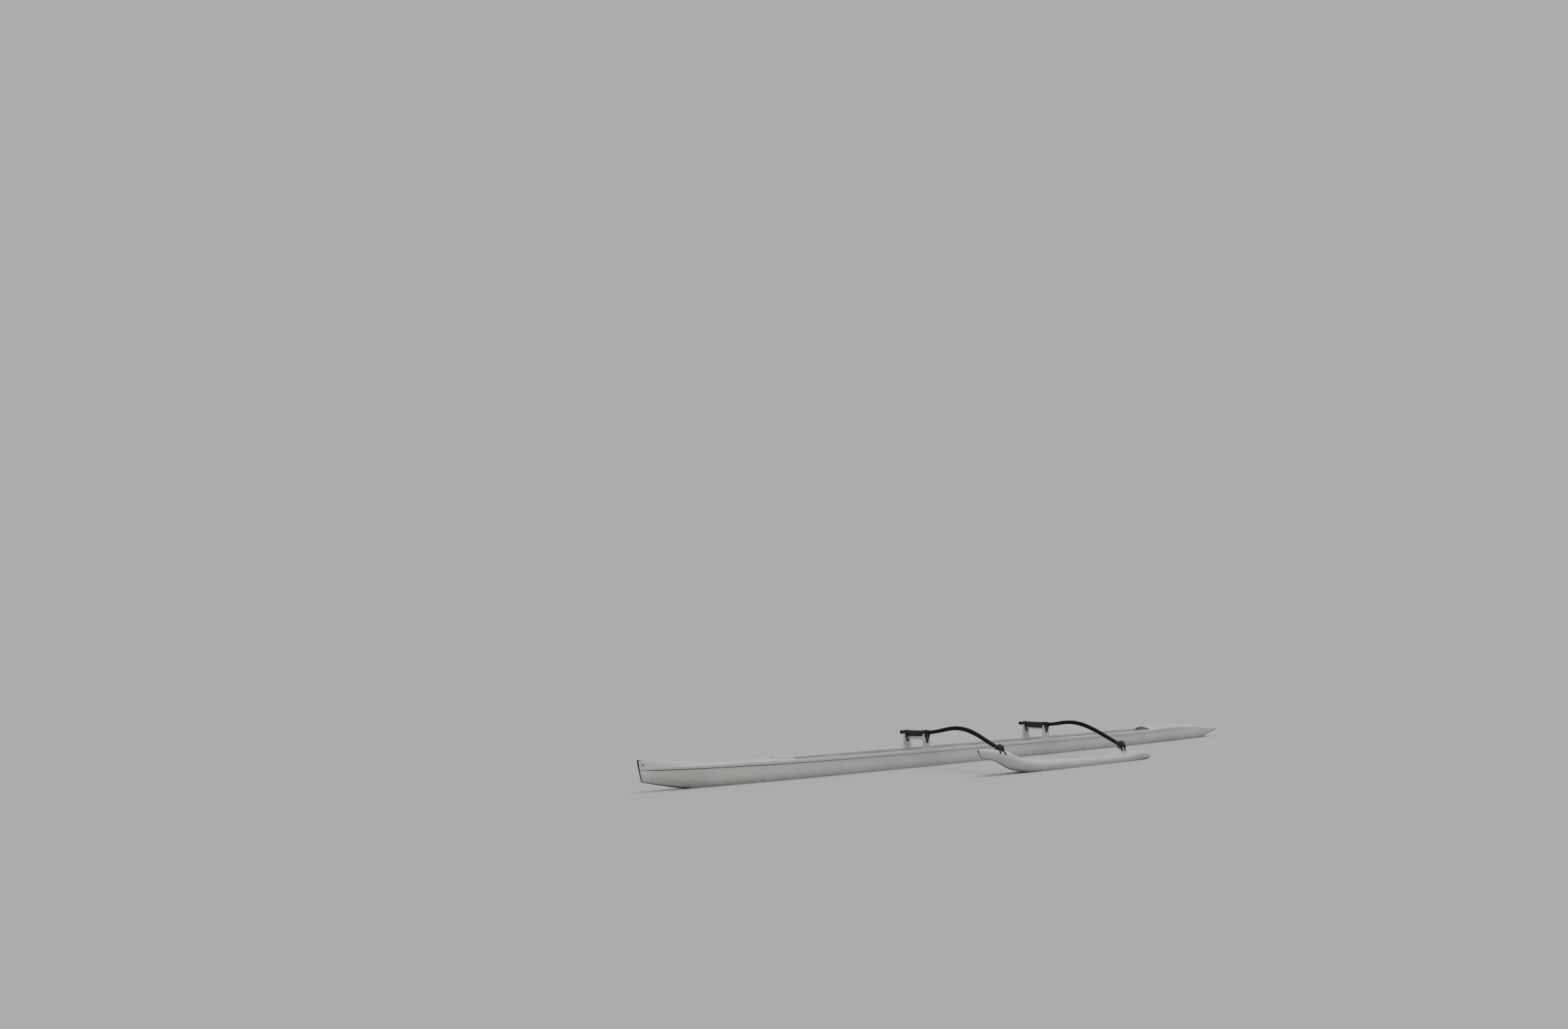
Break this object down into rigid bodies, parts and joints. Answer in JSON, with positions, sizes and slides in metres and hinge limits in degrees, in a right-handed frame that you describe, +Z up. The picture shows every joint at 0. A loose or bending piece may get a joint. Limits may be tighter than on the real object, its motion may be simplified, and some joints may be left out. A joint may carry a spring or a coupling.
{
  "type": "six-seat outrigger canoe",
  "caption": "Long narrow hull with seats in a row, decked ends and splash guard, tied by two arched wooden beams with black lashings to a slim float on its port side.",
  "frame": {"origin": "on the waterline amidships, on the hull's centre plane; the float lies to port", "axes": "+X to the bow, +Y to port where the float is, +Z up"},
  "size_m": [13.5968, 2.4369, 0.964],
  "materials": {
    "gelcoat": "white gelcoat, glossy, faintly weathered",
    "deck": "white gelcoat, satin",
    "interior": "painted laminate",
    "wood": "dark varnished laminated wood",
    "lashing": "wound black rubber strip",
    "black_trim": "black edge strip"
  },
  "bodies": {
    "root": {"hull_bow": "gelcoat", "hull_fore": "gelcoat", "hull_mid": "gelcoat", "hull_aft": "gelcoat", "hull_stern": "gelcoat", "foredeck": "deck", "aft_deck": "deck", "splash_guard": "deck", "bow_bulkhead": "interior", "stern_bulkhead": "interior", "bow_hatch": "black_trim", "stern_hatch": "black_trim", "bow_band": "black_trim", "stern_band": "black_trim", "gunwale_port_fore": "deck", "gunwale_port_mid": "deck", "gunwale_port_aft": "deck", "gunwale_starboard_fore": "deck", "gunwale_starboard_mid": "deck", "gunwale_starboard_aft": "deck", "seat_1": "interior", "seat_2": "interior", "seat_3": "interior", "seat_4": "interior", "seat_5": "interior", "seat_6": "interior", "fore_iako": "wood", "aft_iako": "wood", "fore_float_lashing": "lashing", "aft_float_lashing": "lashing", "ama": "gelcoat", "ama_pylon": "gelcoat", "ama_nose_band": "black_trim", "ama_tail_band": "black_trim", "fore_crossbar": "deck", "fore_post_port": "deck", "fore_hull_lashing_port": "lashing", "fore_post_starboard": "deck", "fore_hull_lashing_starboard": "lashing", "aft_crossbar": "deck", "aft_post_port": "deck", "aft_hull_lashing_port": "lashing", "aft_post_starboard": "deck", "aft_hull_lashing_starboard": "lashing"}
  },
  "joints": []
}
